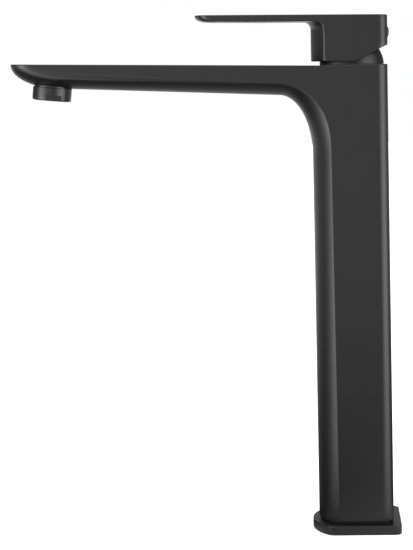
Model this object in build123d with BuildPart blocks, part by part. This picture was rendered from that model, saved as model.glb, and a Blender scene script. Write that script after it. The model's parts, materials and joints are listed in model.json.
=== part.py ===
"""Tall single-lever basin mixer: a bowed column with a long flat spout and a lever on top.

Millimetres, +Z up. The origin is the middle of the deck face on the axis of the column and of
the cartridge. The spout points along -Y and the object is symmetric about X = 0.
"""

from build123d import *
from math import cos, radians, sin, sqrt, tan
import os

# ---------------------------------------------------------------- driving dimensions
# Column and head.
nut_wall = 4.6  # from the nut's thread out to the flat side
column_front = 25.5  # axis to the crown of the bowed front
column_rear = 22.0  # axis to the flat back
bow_foot = 13.0  # depth of the bowed front at the foot
bow_shoulder = 11.5  # and where the elbow starts
bow_spout = 7.0  # and along the spout's underside
rear_radius = 6.0
body_top = 297.3  # deck to the land under the dome cap
spout_length = 217.0  # axis to the tip
spout_tip_rise = 5.4  # tip above the land
spout_root_depth = 18.8  # thickness where the elbow ends
underside_slope = 3.0  # degrees, rising towards the tip
elbow_reach = 20.3  # inner elbow, along the spout
elbow_drop = 38.6  # inner elbow, down the column
nose_length = 28.0
nose_bow = 6.5  # how far the tip bows forward in plan
nose_overrun = 6.0  # the nose curve crosses the underside this far behind its root
nose_dip = 0.8  # and this far below it
top_edge_radius = 0.9
wall = 3.2

# Foot.
plate_thickness = 5.8
plate_width = 57.0
plate_front = 29.5
plate_rear = 26.8
plate_bow = 11.0
plate_radius = 4.5
plate_edge_radius = 0.9
shadow_gap = 1.4  # between the plate and the column
gap_inset = 2.4  # how far the ring in the gap stands back
foot_web = 12.0  # thickness of the column's closed foot
stud_radius = 3.4  # tapped M8
stud_place = 11.0  # in front of the axis
stud_clearance = 1.1
hose_radius = 7.0  # way through for one hose
hose_spacing = 15.0
hose_place = 4.0  # behind the axis

# Cartridge chamber, for a 35 mm cartridge.
pivot_drop = 1.0  # land down to the axis that the lever tilts about
cartridge_radius = 17.4
chamber_gap = 0.2
chamber_depth = 33.0  # land to chamber floor
nut_shoulder = 1.6  # seat of the nut beyond the chamber
nut_seat_depth = 5.6
nut_collar = 3.7  # collar above the land
floor_thickness = 18.0
inlet_radius = 3.0
inlet_x = 9.0
inlet_y = 4.0
outlet_y = -9.0
waterway_radius = 3.5
hose_thread_radius = 4.5  # tapped M10 x 1
hose_thread_length = 11.0

# Cartridge.
base_thickness = 8.6
seal_height = 1.0
seal_pocket = 0.8
disc_thickness = 4.5
housing_wall = 2.8
disc_margin = 3.9  # fixed disc beyond the moving one
disc_offset = 2.3  # upper disc behind the axis when shut
carrier_rim = 0.4  # carrier beyond the moving disc
carrier_height = 6.0
neck_wall = 4.9  # cartridge to the guide's neck
neck_height = 6.6  # above the pivot
flange_wall = 2.15
flange_height = 2.4
running_gap = 0.05
shell_gap = 0.3
spindle_side = 7.0
spindle_top = 27.2  # above the pivot
spindle_arm = 10.5  # pivot to the ball
ball_radius = 3.0
ball_neck = 4.2  # round neck between the ball and the square
pin_radius = 1.5
ring_width = 2.9
ring_height = 1.4
lift_angle = 25.0

# Dome cap.
dome_step = 1.4  # dome beyond the nut's thread
dome_wall = 1.5
dome_mouth_step = 4.6
cap_washer_height = 0.6

# Lever.
lever_rise = 31.1  # land to the top of the lever over the axis
lever_wall = 0.8  # beside the hollow over the dome cap
lever_length = 98.8  # axis to the paddle's tip
lever_front = 25.6
lever_rear = 22.2
lever_bow = 8.4
lever_slope = 1.2  # degrees, rising towards the tip
lever_gap = 2.0  # land to the underside of the block
paddle_thickness = 4.3
paddle_tip_width = 36.0
tip_bow = 5.0
lever_rear_radius = 5.0
heel_start = 1.5  # behind the axis
heel_angle = 26.0  # slope of the cut under the lever's rear
dome_clearance = 0.8
plug_radius = 4.6
plug_drop = 11.0  # under the top of the lever
plug_depth = 3.0
plug_proud = 1.5
screw_lift = 0.9  # of the screw over the dome cap, clear as the lever lifts
screw_radius = 2.0
screw_length = 13.0
key_radius = 1.25

# Outlet.
outlet_reach = 191.0
outlet_tilt = 6.0  # degrees, the jet leans away from the column
outlet_thread_radius = 12.0  # tapped M24 x 1
outlet_thread_depth = 11.6
outlet_pocket = 3.0
skirt_step = 0.4  # skirt beyond the thread
skirt_drop = 7.8
skirt_gap = 0.3
thread_wall = 1.4
flat_depth = 1.05  # of the spanner flats
spanner_height = 3.6
lip = 1.0
gasket_height = 1.4
gasket_width = 2.5
screen_height = 0.6
regulator_height = 3.0
grid_height = 1.1
grid_hole = 0.7
fit_gap = 0.1

# ---------------------------------------------------------------- derived sizes
nut_thread_radius = cartridge_radius + nut_shoulder
half_width = nut_thread_radius + nut_wall
column_width = 2 * half_width
column_foot = plate_thickness + shadow_gap
stud_clear_radius = stud_radius + stud_clearance
elbow_y = -column_front - elbow_reach
underside_height = body_top + 0.7 - spout_root_depth
elbow_start = underside_height - elbow_drop
slope = radians(underside_slope)
nose_start = -spout_length + nose_length
tip_top = body_top + spout_tip_rise
quarter = 0.5523  # handle length of a Bezier quarter round

chamber_radius = cartridge_radius + chamber_gap
fixed_disc_radius = cartridge_radius - housing_wall - fit_gap
moving_disc_radius = fixed_disc_radius - disc_margin
carrier_radius = moving_disc_radius + carrier_rim
neck_radius = cartridge_radius - neck_wall
flange_radius = cartridge_radius - flange_wall - running_gap
dome_radius = nut_thread_radius + dome_step
dome_mouth = dome_radius - dome_mouth_step
land_edge = -dome_radius - 1.0
pivot_height = body_top - pivot_drop
screw_height = pivot_height + dome_radius + screw_lift + screw_radius
lever_width = 2 * (dome_radius + dome_clearance + lever_wall)
lever_top = body_top + lever_rise
plug_height = lever_top - plug_drop
skirt_radius = outlet_thread_radius + skirt_step
bore_radius = outlet_thread_radius - thread_wall
spanner_flat = skirt_radius - flat_depth
chamber_floor = body_top - chamber_depth
nut_seat = body_top - nut_seat_depth
port_floor = chamber_floor - floor_thickness
base_bottom = chamber_floor + seal_height - seal_pocket
base_top = base_bottom + base_thickness
disc_top = base_top + disc_thickness
moving_top = disc_top + disc_thickness
carrier_top = moving_top + carrier_height
guide_bottom = carrier_top + 0.4
cap_bottom = body_top + cap_washer_height

block_bottom = body_top + lever_gap
lever_tan = tan(radians(lever_slope))


def underside(y):
    """Height of the spout's underside at its crown."""
    return underside_height + (elbow_y - y) * tan(slope)


def lever_surface(y):
    """Height of the lever's sloping top."""
    return lever_top - y * lever_tan


def bowed_outline(plane, width, front, rear, bow):
    """Plan outline of three straight sides and a bowed front towards -Y."""
    side = width / 2
    with BuildSketch(plane) as outline:
        with BuildLine():
            Polyline((-side, -front + bow), (-side, rear), (side, rear), (side, -front + bow))
            ThreePointArc((side, -front + bow), (0, -front), (-side, -front + bow))
        make_face()
    return outline.sketch


def bow_section(origin, direction, bow):
    """Section that carries the bow round the elbow: an arc towards the hand, open far behind."""
    reach = half_width * 1.15
    arc_radius = (half_width**2 + bow**2) / (2 * bow)
    set_back = arc_radius - sqrt(arc_radius**2 - reach**2)
    depth = column_front + column_rear + elbow_drop
    with BuildSketch(Plane(origin=origin, x_dir=(1, 0, 0), z_dir=direction)) as section:
        with BuildLine():
            ThreePointArc((-reach, set_back), (0, 0), (reach, set_back))
            Polyline((reach, set_back), (reach, depth), (-reach, depth), (-reach, set_back))
        make_face()
    return section.sketch


def hollow_outline(height):
    """Plan outline of the column's hollow, one wall inside its outside."""
    inner_width = column_width - 2 * wall
    inner_bow = bow_foot * inner_width / column_width
    return bowed_outline(
        Plane.XY.offset(height), inner_width, column_front - wall, column_rear - wall, inner_bow
    )


def way_through(height, stud_hole):
    """Openings in the foot: one slot for both hoses and one hole for the stud."""
    with BuildSketch(Plane.XY.offset(height)) as openings:
        with Locations((0, hose_place)):
            SlotCenterToCenter(hose_spacing, 2 * hose_radius)
        with Locations((0, -stud_place)):
            Circle(stud_hole)
    return openings.sketch


def ring(plane, outer, inner, height):
    """Flat ring standing on a plane."""
    with BuildPart() as body:
        with BuildSketch(plane):
            Circle(outer)
            Circle(inner, mode=Mode.SUBTRACT)
        extrude(amount=height)
    return body.part


def save(body, name):
    """Label one finished piece and write it."""
    body.part.label = name
    export_step(body.part, f"parts/{name}.step")


os.makedirs("parts", exist_ok=True)

# ---------------------------------------------------------------- outlet frame
# Its origin lies on the underside's crown, and +Z runs up the aerator's axis into the spout.
outlet_origin = Vector(0, -outlet_reach, underside(-outlet_reach))
outlet_up = Vector(0, sin(radians(outlet_tilt)), cos(radians(outlet_tilt)))
outlet = Plane(origin=outlet_origin, x_dir=(1, 0, 0), z_dir=outlet_up)

# ---------------------------------------------------------------- column, foot and head
# Side outline: back, land, rising spout and round nose. The bow bounds the rest.
shoulder = (-column_front, elbow_start)
shoulder_handle = (-column_front, elbow_start + quarter * elbow_drop)
elbow_end = (elbow_y, underside_height)
elbow_handle = (
    elbow_y + quarter * elbow_reach * cos(slope),
    underside_height - quarter * elbow_reach * sin(slope),
)
nose_root = (nose_start + nose_overrun, underside(nose_start + nose_overrun) - nose_dip)
nose_handle = (nose_start - quarter * nose_length, underside(nose_start))
tip = (-spout_length, tip_top)
tip_handle = (-spout_length, tip_top - quarter * (tip_top - underside(nose_start)))

with BuildSketch(Plane.YZ) as side_outline:
    with BuildLine():
        Polyline(
            nose_root,
            (-column_front - wall, column_foot),
            (column_rear, column_foot),
            (column_rear, body_top),
            (land_edge, body_top),
            tip,
        )
        Bezier(tip, tip_handle, nose_handle, nose_root)
    make_face()

# The bow follows the column's front, turns with the elbow and runs out under the spout.
spout_direction = (0, -cos(slope), sin(slope))
below_foot = (0, -column_front, column_foot - 5)
past_tip = (0, -spout_length - 10, underside(-spout_length - 10))
with BuildLine() as bow_path:
    Line(below_foot, (0, *shoulder))
    Bezier((0, *shoulder), (0, *shoulder_handle), (0, *elbow_handle), (0, *elbow_end))
    Line((0, *elbow_end), past_tip)
bow_sections = [
    bow_section(below_foot, (0, 0, 1), bow_foot),
    bow_section((0, *shoulder), (0, 0, 1), bow_shoulder),
    bow_section((0, *elbow_end), spout_direction, bow_spout),
    bow_section(past_tip, spout_direction, bow_spout),
]
with BuildPart() as bow:
    sweep(sections=bow_sections, path=bow_path.line, multisection=True)

waterway_end = outlet.from_local_coords(Vector(0, 0, outlet_thread_depth - waterway_radius - 0.2))
waterway_low = chamber_floor - waterway_radius - 7.5

# Outer form of column and head together; the back has round corners.
with BuildPart() as outer_form:
    extrude(side_outline.sketch, amount=half_width, both=True)
    add(bow.part, mode=Mode.INTERSECT)
    plan = bowed_outline(Plane.XY, column_width, spout_length, column_rear, nose_bow)
    extrude(plan, amount=tip_top + 1, mode=Mode.INTERSECT)
    back = outer_form.faces().sort_by(Axis.Y)[-1]
    fillet(back.edges().filter_by(Axis.Z), rear_radius)
    upward = outer_form.faces().filter_by(lambda face: face.normal_at().Z > 0.9)
    rim = upward.edges().filter_by(lambda edge: abs((edge @ 0.5).Y - land_edge) > 1)
    fillet(rim, top_edge_radius)

with BuildPart() as column_tube:
    add(outer_form.part)
    split(bisect_by=Plane.XY.offset(port_floor), keep=Keep.BOTTOM)
    extrude(hollow_outline(column_foot), amount=port_floor - column_foot, mode=Mode.SUBTRACT)
save(column_tube, "column_tube")

with BuildPart() as foot_block:
    extrude(hollow_outline(column_foot), amount=foot_web)
    extrude(way_through(column_foot, stud_radius), amount=foot_web, mode=Mode.SUBTRACT)
save(foot_block, "foot_block")

with BuildPart() as head_casting:
    add(outer_form.part)
    split(bisect_by=Plane.XY.offset(port_floor), keep=Keep.TOP)
    # Chamber and the seat of the nut.
    with BuildSketch(Plane.XY.offset(chamber_floor)):
        Circle(chamber_radius)
    extrude(amount=chamber_depth, mode=Mode.SUBTRACT)
    with BuildSketch(Plane.XY.offset(nut_seat)):
        Circle(nut_thread_radius)
    extrude(amount=nut_seat_depth, mode=Mode.SUBTRACT)
    # Two tapped hose ports below, each with its inlet to the chamber floor.
    with BuildSketch(Plane.XY.offset(port_floor)):
        with Locations((-inlet_x, inlet_y), (inlet_x, inlet_y)):
            Circle(hose_thread_radius)
    extrude(amount=hose_thread_length, mode=Mode.SUBTRACT)
    with BuildSketch(Plane.XY.offset(port_floor)):
        with Locations((-inlet_x, inlet_y), (inlet_x, inlet_y)):
            Circle(inlet_radius)
    extrude(amount=floor_thickness, mode=Mode.SUBTRACT)
    # Waterway: down out of the chamber, forward round the elbow and along the spout.
    with BuildLine() as waterway:
        FilletPolyline(
            (0, outlet_y, chamber_floor + 1),
            (0, outlet_y, waterway_low),
            (0, -column_front + 2.0, waterway_low + 7.0),
            (0, -column_front - 7.0, underside_height + 4.0),
            (0, elbow_y, underside_height + 0.5 * spout_root_depth),
            (0, waterway_end.Y, waterway_end.Z),
            radius=6.0,
        )
    with BuildSketch(Plane(origin=waterway.line @ 0, z_dir=waterway.line % 0)):
        Circle(waterway_radius)
    sweep(path=waterway.line, mode=Mode.SUBTRACT)
    # Outlet: a shallow pocket for the skirt and the tapped bore above it.
    with BuildSketch(outlet.offset(-skirt_drop)):
        Circle(skirt_radius + skirt_gap)
    extrude(amount=skirt_drop + outlet_pocket, mode=Mode.SUBTRACT)
    with BuildSketch(outlet.offset(outlet_pocket)):
        Circle(outlet_thread_radius)
    extrude(amount=outlet_thread_depth - outlet_pocket, mode=Mode.SUBTRACT)
save(head_casting, "head_casting")

# ---------------------------------------------------------------- foot
with BuildPart() as base_plate:
    extrude(
        bowed_outline(Plane.XY, plate_width, plate_front, plate_rear, plate_bow),
        amount=plate_thickness,
    )
    fillet(base_plate.edges().filter_by(Axis.Z), plate_radius)
    fillet(base_plate.faces().sort_by(Axis.Z)[-1].edges(), plate_edge_radius)
    extrude(way_through(0, stud_clear_radius), amount=plate_thickness, mode=Mode.SUBTRACT)
    with BuildSketch(Plane.XY):
        Circle(plate_rear - wall)
        Circle(plate_rear - 2 * wall, mode=Mode.SUBTRACT)
    extrude(amount=plate_thickness / 3, mode=Mode.SUBTRACT)
save(base_plate, "base_plate")

with BuildPart() as deck_gasket:
    add(ring(Plane.XY, plate_rear - wall, plate_rear - 2 * wall, plate_thickness / 3))
save(deck_gasket, "deck_gasket")

with BuildPart() as column_gasket:
    extrude(
        bowed_outline(
            Plane.XY.offset(plate_thickness),
            column_width - 2 * gap_inset,
            column_front - gap_inset,
            column_rear - gap_inset,
            bow_foot * (column_width - 2 * gap_inset) / column_width,
        ),
        amount=shadow_gap,
    )
    openings = way_through(plate_thickness, stud_clear_radius)
    extrude(openings, amount=shadow_gap, mode=Mode.SUBTRACT)
save(column_gasket, "column_gasket")

# ---------------------------------------------------------------- cartridge, fixed pieces
port_places = [(-inlet_x, inlet_y), (inlet_x, inlet_y), (0, outlet_y)]
seal_radius = inlet_radius + 1.6

with BuildPart() as cartridge_base:
    with BuildSketch(Plane.XY.offset(base_bottom)):
        Circle(cartridge_radius)
        with Locations(*port_places):
            Circle(inlet_radius, mode=Mode.SUBTRACT)
    extrude(amount=base_thickness)
    with BuildSketch(Plane.XY.offset(base_bottom)):
        with Locations(*port_places):
            Circle(seal_radius)
    extrude(amount=seal_pocket, mode=Mode.SUBTRACT)
    with BuildSketch(Plane.XY.offset(base_top - seal_pocket)):
        with Locations(*port_places):
            Circle(seal_radius)
    extrude(amount=seal_pocket, mode=Mode.SUBTRACT)
save(cartridge_base, "cartridge_base")

with BuildPart() as base_seals:
    with BuildSketch(Plane.XY.offset(chamber_floor)):
        with Locations(*port_places):
            Circle(seal_radius - fit_gap)
            Circle(inlet_radius + fit_gap, mode=Mode.SUBTRACT)
    extrude(amount=seal_height)
save(base_seals, "base_seals")

with BuildPart() as disc_seals:
    with BuildSketch(Plane.XY.offset(base_top - seal_pocket)):
        with Locations(*port_places):
            Circle(seal_radius - fit_gap)
            Circle(inlet_radius + fit_gap, mode=Mode.SUBTRACT)
    extrude(amount=seal_pocket)
save(disc_seals, "disc_seals")

with BuildPart() as fixed_disc:
    with BuildSketch(Plane.XY.offset(base_top)):
        Circle(fixed_disc_radius)
        with Locations(*port_places):
            Circle(inlet_radius, mode=Mode.SUBTRACT)
    extrude(amount=disc_thickness)
save(fixed_disc, "fixed_disc")

housing_top = nut_seat + nut_collar + nut_seat_depth - 2.0
with BuildPart() as cartridge_housing:
    with BuildSketch(Plane.XY.offset(base_top)):
        Circle(cartridge_radius)
    extrude(amount=nut_seat - base_top)
    with BuildSketch(Plane.XY.offset(nut_seat)):
        Circle(neck_radius + 1.4)
    extrude(amount=housing_top - nut_seat)
    with BuildSketch(Plane.XY.offset(base_top)):
        Circle(fixed_disc_radius + fit_gap)
    extrude(amount=disc_thickness, mode=Mode.SUBTRACT)
    with BuildSketch(Plane.XY.offset(disc_top)):
        Circle(flange_radius + running_gap)
    extrude(amount=guide_bottom + flange_height + running_gap - disc_top, mode=Mode.SUBTRACT)
    with BuildSketch(Plane.XY.offset(disc_top)):
        Circle(neck_radius + running_gap)
    extrude(amount=housing_top - disc_top, mode=Mode.SUBTRACT)
save(cartridge_housing, "cartridge_housing")

nut_bore = neck_radius + 1.5
with BuildPart() as cartridge_nut:
    with BuildSketch(Plane.XY.offset(nut_seat)):
        Circle(nut_thread_radius - running_gap)
    extrude(amount=nut_seat_depth)
    with BuildSketch(Plane.XY.offset(body_top)):
        Circle(dome_radius - dome_wall - 0.9)
    extrude(amount=nut_collar)
    with BuildSketch(Plane.XY.offset(nut_seat)):
        Circle(nut_bore)
    extrude(amount=nut_seat_depth + nut_collar, mode=Mode.SUBTRACT)
    with BuildSketch(Plane.XY.offset(body_top + 1.2)):
        Circle(dome_radius)
        Circle(dome_radius - dome_wall - 2.0, mode=Mode.SUBTRACT)
    extrude(amount=1.6, mode=Mode.SUBTRACT)
save(cartridge_nut, "cartridge_nut")

with BuildPart() as cap_ring:
    add(
        ring(
            Plane.XY.offset(body_top + 1.2),
            dome_radius - dome_wall - 0.35,
            dome_radius - dome_wall - 2.0 + running_gap,
            1.5,
        )
    )
    fillet(cap_ring.edges(), 0.5)
save(cap_ring, "cap_ring")

# ---------------------------------------------------------------- dome cap
with BuildPart() as cap_washer:
    add(ring(Plane.XY.offset(body_top), dome_radius - 0.3, nut_thread_radius + 0.1, cap_washer_height))
save(cap_washer, "cap_washer")

with BuildPart() as dome_cap:
    with Locations((0, 0, pivot_height)):
        Sphere(dome_radius)
        Sphere(dome_radius - dome_wall, mode=Mode.SUBTRACT)
    split(bisect_by=Plane.XY.offset(cap_bottom), keep=Keep.TOP)
    with BuildSketch(Plane.XY.offset(cap_bottom)):
        Circle(dome_mouth)
    extrude(amount=dome_radius, mode=Mode.SUBTRACT)
save(dome_cap, "dome_cap")

# ---------------------------------------------------------------- cartridge, turning pieces
guide_top = pivot_height + neck_height
lean = tan(radians(lift_angle))
slot_rear = spindle_side / 2 / cos(radians(lift_angle)) + neck_height * lean + 0.6
slot_front = spindle_side / 2 / cos(radians(lift_angle)) + (pivot_height - guide_bottom) * lean + 0.6
slot_width = spindle_side + 2 * running_gap

with BuildPart() as spindle_guide:
    with BuildSketch(Plane.XY.offset(guide_bottom)):
        Circle(flange_radius)
    extrude(amount=flange_height)
    with BuildSketch(Plane.XY.offset(guide_bottom)):
        Circle(neck_radius)
    extrude(amount=guide_top - guide_bottom)
    # Slot for the leaning spindle: rearwards above the pivot, forwards below it.
    with BuildSketch(Plane.YZ):
        with BuildLine():
            Polyline(
                (-spindle_side / 2 - 0.6, guide_top),
                (slot_rear, guide_top),
                (spindle_side / 2 + 0.6, pivot_height),
                (spindle_side / 2 + 0.6, guide_bottom),
                (-slot_front, guide_bottom),
                (-spindle_side / 2 - 0.6, pivot_height),
                close=True,
            )
        make_face()
    extrude(amount=slot_width / 2, both=True, mode=Mode.SUBTRACT)
    with BuildSketch(Plane.YZ):
        with Locations((0, pivot_height)):
            Circle(pin_radius)
    extrude(amount=neck_radius - 1.0, both=True, mode=Mode.SUBTRACT)
save(spindle_guide, "spindle_guide")

with BuildPart() as limit_ring:
    add(
        ring(
            Plane.XY.offset(body_top + nut_collar + shell_gap),
            neck_radius + ring_width,
            neck_radius,
            ring_height,
        )
    )
    with BuildSketch(Plane.XY.offset(body_top + nut_collar + shell_gap)):
        with Locations((0, neck_radius + ring_width)):
            Rectangle(3.0, 2.4)
    extrude(amount=ring_height, mode=Mode.SUBTRACT)
save(limit_ring, "limit_ring")

with BuildPart() as pivot_pin:
    with BuildSketch(Plane.YZ):
        with Locations((0, pivot_height)):
            Circle(pin_radius)
    extrude(amount=neck_radius - 1.0, both=True)
save(pivot_pin, "pivot_pin")

# ---------------------------------------------------------------- cartridge, tilting stem
ball_height = pivot_height - spindle_arm
with BuildPart() as spindle:
    with BuildSketch(Plane.XY.offset(ball_height)):
        Rectangle(spindle_side, spindle_side)
    extrude(amount=spindle_arm + spindle_top)
    fillet(spindle.edges().filter_by(Axis.Z), 0.5)
    with BuildSketch(Plane.XY.offset(ball_height - ball_radius)):
        Rectangle(3 * ball_radius, 3 * ball_radius)
    extrude(amount=ball_radius + ball_neck, mode=Mode.SUBTRACT)
    with BuildSketch(Plane.XY.offset(ball_height)):
        Circle(ball_radius - 1.0)
    extrude(amount=ball_neck)
    with Locations((0, 0, ball_height)):
        Sphere(ball_radius)
    with BuildSketch(Plane.YZ):
        with Locations((0, pivot_height)):
            Circle(pin_radius + running_gap)
    extrude(amount=spindle_side, both=True, mode=Mode.SUBTRACT)
save(spindle, "spindle")

# ---------------------------------------------------------------- cartridge, sliding pieces
with BuildPart() as moving_disc:
    with BuildSketch(Plane.XY.offset(disc_top)):
        with Locations((0, disc_offset)):
            Circle(moving_disc_radius)
    extrude(amount=disc_thickness)
    with BuildSketch(Plane.XY.offset(disc_top)):
        with Locations((0, disc_offset - 1.0)):
            SlotCenterToCenter(6.0, 5.0)
    extrude(amount=disc_thickness / 2, mode=Mode.SUBTRACT)
save(moving_disc, "moving_disc")

pocket_gap = 0.5
with BuildPart() as disc_carrier:
    with BuildSketch(Plane.XY.offset(moving_top)):
        with Locations((0, disc_offset)):
            Circle(carrier_radius)
    extrude(amount=carrier_height)
    with BuildSketch(Plane.XY.offset(ball_height - ball_radius - shell_gap)):
        Circle(ball_radius + pocket_gap)
    extrude(amount=carrier_height, mode=Mode.SUBTRACT)
save(disc_carrier, "disc_carrier")

# ---------------------------------------------------------------- lever
# Side outline: a deep block over the dome cap and a thin flat paddle reaching forward.
paddle_under = lever_surface(-lever_front) - paddle_thickness
heel_height = block_bottom + (lever_rear - heel_start) * tan(radians(heel_angle))

with BuildPart() as lever:
    with BuildSketch(Plane.YZ):
        with BuildLine():
            Polyline(
                (-lever_length, lever_surface(-lever_length) - paddle_thickness),
                (-lever_length, lever_surface(-lever_length)),
                (lever_rear, lever_surface(lever_rear)),
                (lever_rear, heel_height),
                (heel_start, block_bottom),
                (-lever_front, block_bottom + (heel_start + lever_front) * lever_tan),
                (-lever_front, paddle_under),
                close=True,
            )
        make_face()
    extrude(amount=lever_width / 2, both=True)
    # Bowed front of the block, under the paddle.
    block_plan = bowed_outline(
        Plane.XY.offset(body_top), lever_width, lever_front, lever_rear, lever_bow
    )
    with BuildSketch(Plane.XY.offset(body_top)):
        with Locations((0, -lever_front)):
            Rectangle(lever_width + 2, 2 * lever_bow)
        add(block_plan, mode=Mode.SUBTRACT)
    extrude(amount=paddle_under - body_top - 0.1, mode=Mode.SUBTRACT)
    # Plan of the whole lever, with a bowed tip.
    with BuildSketch(Plane.XY.offset(body_top)):
        with BuildLine():
            Polyline(
                (-paddle_tip_width / 2, -lever_length + tip_bow),
                (-lever_width / 2, -lever_front + lever_bow),
                (-lever_width / 2, lever_rear),
                (lever_width / 2, lever_rear),
                (lever_width / 2, -lever_front + lever_bow),
                (paddle_tip_width / 2, -lever_length + tip_bow),
            )
            ThreePointArc(
                (paddle_tip_width / 2, -lever_length + tip_bow),
                (0, -lever_length),
                (-paddle_tip_width / 2, -lever_length + tip_bow),
            )
        make_face()
    extrude(amount=lever_length, mode=Mode.INTERSECT)
    rear_edges = lever.faces().sort_by(Axis.Y)[-1].edges().filter_by(Axis.Z)
    fillet(rear_edges, lever_rear_radius)
    # Square socket for the stem and the clamping screw's bore with its plug seat.
    with BuildSketch(Plane.XY.offset(pivot_height)):
        Rectangle(spindle_side + 2 * running_gap, spindle_side + 2 * running_gap)
    extrude(amount=spindle_top + 0.3, mode=Mode.SUBTRACT)
    with BuildSketch(Plane.XZ.offset(-lever_rear)):
        with Locations((0, screw_height)):
            Circle(screw_radius)
    extrude(amount=lever_rear, mode=Mode.SUBTRACT)
    with BuildSketch(Plane.XZ.offset(-lever_rear)):
        with Locations((0, plug_height)):
            Circle(plug_radius + fit_gap)
    extrude(amount=plug_depth, mode=Mode.SUBTRACT)
    # Hollow over the dome cap.
    with Locations((0, 0, pivot_height)):
        Sphere(dome_radius + dome_clearance, rotation=(0, 90, 0), mode=Mode.SUBTRACT)
save(lever, "lever")

screw_tip = spindle_side / 2
with BuildPart() as grub_screw:
    with BuildSketch(Plane.XZ.offset(-screw_tip)):
        with Locations((0, screw_height)):
            Circle(screw_radius)
    extrude(amount=-screw_length)
    with BuildSketch(Plane.XZ.offset(-screw_tip - screw_length)):
        with Locations((0, screw_height)):
            RegularPolygon(key_radius, 6)
    extrude(amount=3.0, mode=Mode.SUBTRACT)
save(grub_screw, "grub_screw")

with BuildPart() as index_plug:
    with BuildSketch(Plane.XZ.offset(-lever_rear + plug_depth - fit_gap)):
        with Locations((0, plug_height)):
            Circle(plug_radius)
    extrude(amount=-plug_depth + fit_gap)
    crown = index_plug.faces().sort_by(Axis.Y)[-1]
    extrude(crown, amount=plug_proud, taper=25)
save(index_plug, "index_plug")

# ---------------------------------------------------------------- aerator
thread_top = outlet_pocket + 4.4
with BuildPart() as aerator_housing:
    with BuildSketch(outlet.offset(-skirt_drop)):
        Circle(skirt_radius)
    extrude(amount=skirt_drop + outlet_pocket)
    fillet(aerator_housing.edges().group_by(Axis.Z)[0], lip)
    with BuildSketch(outlet.offset(outlet_pocket)):
        Circle(outlet_thread_radius - running_gap)
    extrude(amount=thread_top - outlet_pocket)
    with BuildSketch(outlet.offset(-skirt_drop + lip)):
        Circle(bore_radius)
    extrude(amount=skirt_drop + thread_top - lip, mode=Mode.SUBTRACT)
    with BuildSketch(outlet.offset(-skirt_drop)):
        Circle(bore_radius - lip)
    extrude(amount=lip, mode=Mode.SUBTRACT)
    # Two spanner flats at the sides.
    with BuildSketch(outlet.offset(-skirt_drop)):
        with Locations((spanner_flat + skirt_radius, 0), (-spanner_flat - skirt_radius, 0)):
            Rectangle(2 * skirt_radius, 2 * skirt_radius)
    extrude(amount=spanner_height, mode=Mode.SUBTRACT)
save(aerator_housing, "aerator_housing")

with BuildPart() as aerator_gasket:
    add(
        ring(
            outlet.offset(thread_top),
            outlet_thread_radius - fit_gap,
            outlet_thread_radius - fit_gap - gasket_width,
            gasket_height,
        )
    )
save(aerator_gasket, "aerator_gasket")

core_radius = bore_radius - fit_gap
grid_bottom = -skirt_drop + lip
insert_bottom = grid_bottom + grid_height
insert_top = thread_top - screen_height
with BuildPart() as outlet_grid:
    with BuildSketch(outlet.offset(grid_bottom)):
        Circle(core_radius)
        with HexLocations(grid_hole + 0.35, 11, 11) as cells:
            inside = [place for place in cells.local_locations if place.position.length < core_radius - 2]
        with Locations(*inside):
            RegularPolygon(grid_hole, 6, mode=Mode.SUBTRACT)
    extrude(amount=grid_height)
save(outlet_grid, "outlet_grid")

with BuildPart() as aerator_insert:
    with BuildSketch(outlet.offset(insert_bottom)):
        Circle(core_radius)
        Circle(core_radius - 1.4, mode=Mode.SUBTRACT)
    extrude(amount=insert_top - insert_bottom)
    with BuildSketch(outlet.offset(insert_top - regulator_height - 2.0)):
        Circle(core_radius - 1.0)
        with PolarLocations(core_radius * 0.55, 12):
            Circle(0.6, mode=Mode.SUBTRACT)
    extrude(amount=2.0)
save(aerator_insert, "aerator_insert")

with BuildPart() as flow_regulator:
    with BuildSketch(outlet.offset(insert_top - regulator_height)):
        Circle(core_radius - 1.5)
        with PolarLocations(core_radius * 0.5, 8):
            Circle(0.9, mode=Mode.SUBTRACT)
    extrude(amount=regulator_height - fit_gap)
save(flow_regulator, "flow_regulator")

with BuildPart() as aerator_screen:
    with BuildSketch(outlet.offset(insert_top)):
        Circle(core_radius)
        with GridLocations(1.6, 1.6, 8, 8):
            Rectangle(0.9, 0.9, mode=Mode.SUBTRACT)
    extrude(amount=screen_height - 0.05)
save(aerator_screen, "aerator_screen")
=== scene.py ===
"""Looks of a tall black basin mixer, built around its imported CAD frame. Metres, +Z up.

The spout points along -Y, the column's flat sides face -X and +X, and the lever sits on top.
Each visible piece is a surface worked out on a grid: a closed half section, mirrored about
X = 0 and carried along stations, or a profile turned about an axis.
"""

import json
from math import cos, pi, radians, sin, tan

import bmesh
import bpy
import numpy as np
from mathutils import Matrix, Vector


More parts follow.
